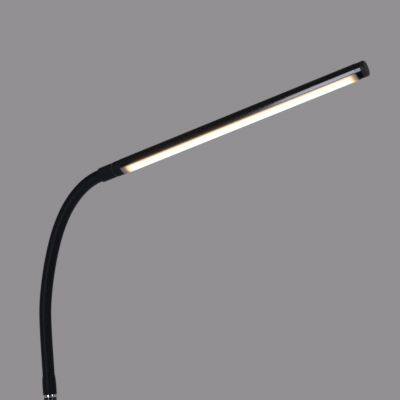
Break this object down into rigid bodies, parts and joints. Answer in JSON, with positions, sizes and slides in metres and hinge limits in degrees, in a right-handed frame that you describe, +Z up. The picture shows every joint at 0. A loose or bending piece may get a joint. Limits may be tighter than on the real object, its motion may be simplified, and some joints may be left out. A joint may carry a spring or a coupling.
{
  "type": "floor lamp",
  "caption": "LED reading floor lamp with a round weighted base, a straight pole, a flexible neck that holds its bend and a slim round light bar with an opal strip.",
  "frame": {"origin": "middle of the base pad's underside, on the floor under the pole", "axes": "+Z up along the pole; +X the way the light bar reaches out; the neck and bar lie in the XZ plane"},
  "size_m": [0.5649, 0.23, 1.3797],
  "materials": {
    "lacquer_black": "gloss black lacquer",
    "sleeve_black": "smooth matte blue-black skin",
    "anodised_black": "satin black anodised",
    "cap_black": "satin black moulding",
    "moulded_black": "fine grained black moulding",
    "gland_black": "matte black",
    "pad_foam": "matte foam",
    "chrome": "polished chrome plating",
    "steel": "turned steel, zinc plated",
    "washer_nylon": "dark grey nylon",
    "cast_weight": "rough cast, grey primer",
    "lead_grey": "matte sheath",
    "opal": "frosted opal strip, lit",
    "board_white": "white solder mask",
    "diode_yellow": "phosphor under clear resin"
  },
  "bodies": {
    "base": {"base_cover": "lacquer_black", "base_weight": "cast_weight", "base_pad": "pad_foam", "driver_box": "moulded_black", "cable_gland": "gland_black", "foot_nipple": "steel", "foot_nut": "steel", "foot_washer": "steel", "foot_plug": "steel", "foot_ring": "chrome", "switch_body": "moulded_black", "switch_spring": "steel", "pole_lower": "lacquer_black", "pole_coupler": "steel", "pole_upper": "lacquer_black", "top_plug": "steel", "pole_lead": "lead_grey", "neck_ring": "chrome", "neck_fitting": "steel", "neck_boot": "sleeve_black", "sleeve_1": "sleeve_black", "core_1": "steel", "lead_1": "lead_grey"},
    "neck_2": {"sleeve_2": "sleeve_black", "core_2": "steel", "lead_2": "lead_grey"},
    "neck_3": {"sleeve_3": "sleeve_black", "core_3": "steel", "lead_3": "lead_grey"},
    "neck_4": {"sleeve_4": "sleeve_black", "core_4": "steel", "lead_4": "lead_grey"},
    "neck_5": {"sleeve_5": "sleeve_black", "core_5": "steel", "lead_5": "lead_grey"},
    "neck_6": {"sleeve_6": "sleeve_black", "core_6": "steel", "lead_6": "lead_grey"},
    "neck_7": {"sleeve_7": "sleeve_black", "core_7": "steel", "lead_7": "lead_grey"},
    "neck_8": {"sleeve_8": "sleeve_black", "core_8": "steel", "lead_8": "lead_grey", "collar": "anodised_black", "swivel_spindle": "steel", "swivel_washer": "washer_nylon", "spring_washer": "steel", "swivel_nut": "steel", "head_lead": "lead_grey"},
    "head": {"near_cap": "cap_black", "head_tube": "anodised_black", "diffuser": "opal", "led_board": "board_white", "led_chips": "diode_yellow", "far_cap": "cap_black"},
    "switch_button": {"switch_button": "cap_black"}
  },
  "joints": [
    {"name": "neck_bend_1", "type": "hinge", "parent": "base", "child": "neck_2", "pos_m": [0, 0, 1.08765], "axis": [0, 1, 0], "range_deg": [-20, 20]},
    {"name": "neck_sway_1", "type": "hinge", "parent": "neck_2", "child": "neck_3", "pos_m": [0.0006, 0, 1.12229], "axis": [0.9994, 0, -0.0349], "range_deg": [-20, 20]},
    {"name": "neck_bend_2", "type": "hinge", "parent": "neck_3", "child": "neck_4", "pos_m": [0.00452, 0, 1.15668], "axis": [0, 1, 0], "range_deg": [-20, 20]},
    {"name": "neck_sway_2", "type": "hinge", "parent": "neck_4", "child": "neck_5", "pos_m": [0.01261, 0, 1.19037], "axis": [0.9613, 0, -0.2756], "range_deg": [-20, 20]},
    {"name": "neck_bend_3", "type": "hinge", "parent": "neck_5", "child": "neck_6", "pos_m": [0.02403, 0, 1.22306], "axis": [0, 1, 0], "range_deg": [-20, 20]},
    {"name": "neck_sway_3", "type": "hinge", "parent": "neck_6", "child": "neck_7", "pos_m": [0.04053, 0, 1.25346], "axis": [0.8241, 0, -0.5664], "range_deg": [-20, 20]},
    {"name": "neck_bend_4", "type": "hinge", "parent": "neck_7", "child": "neck_8", "pos_m": [0.06428, 0, 1.27849], "axis": [0, 1, 0], "range_deg": [-20, 20]},
    {"name": "head_roll", "type": "hinge", "parent": "neck_8", "child": "head", "pos_m": [0.11448, 0, 1.29724], "axis": [0.9763, 0, 0.2164], "range_deg": [-90, 90]},
    {"name": "switch_press", "type": "slide", "parent": "base", "child": "switch_button", "axis": [0, 0, -1], "range_m": [0, 0.003], "stiffness_N_per_m": 1500, "springref_m": -0.002, "deforming": ["switch_spring"]}
  ]
}
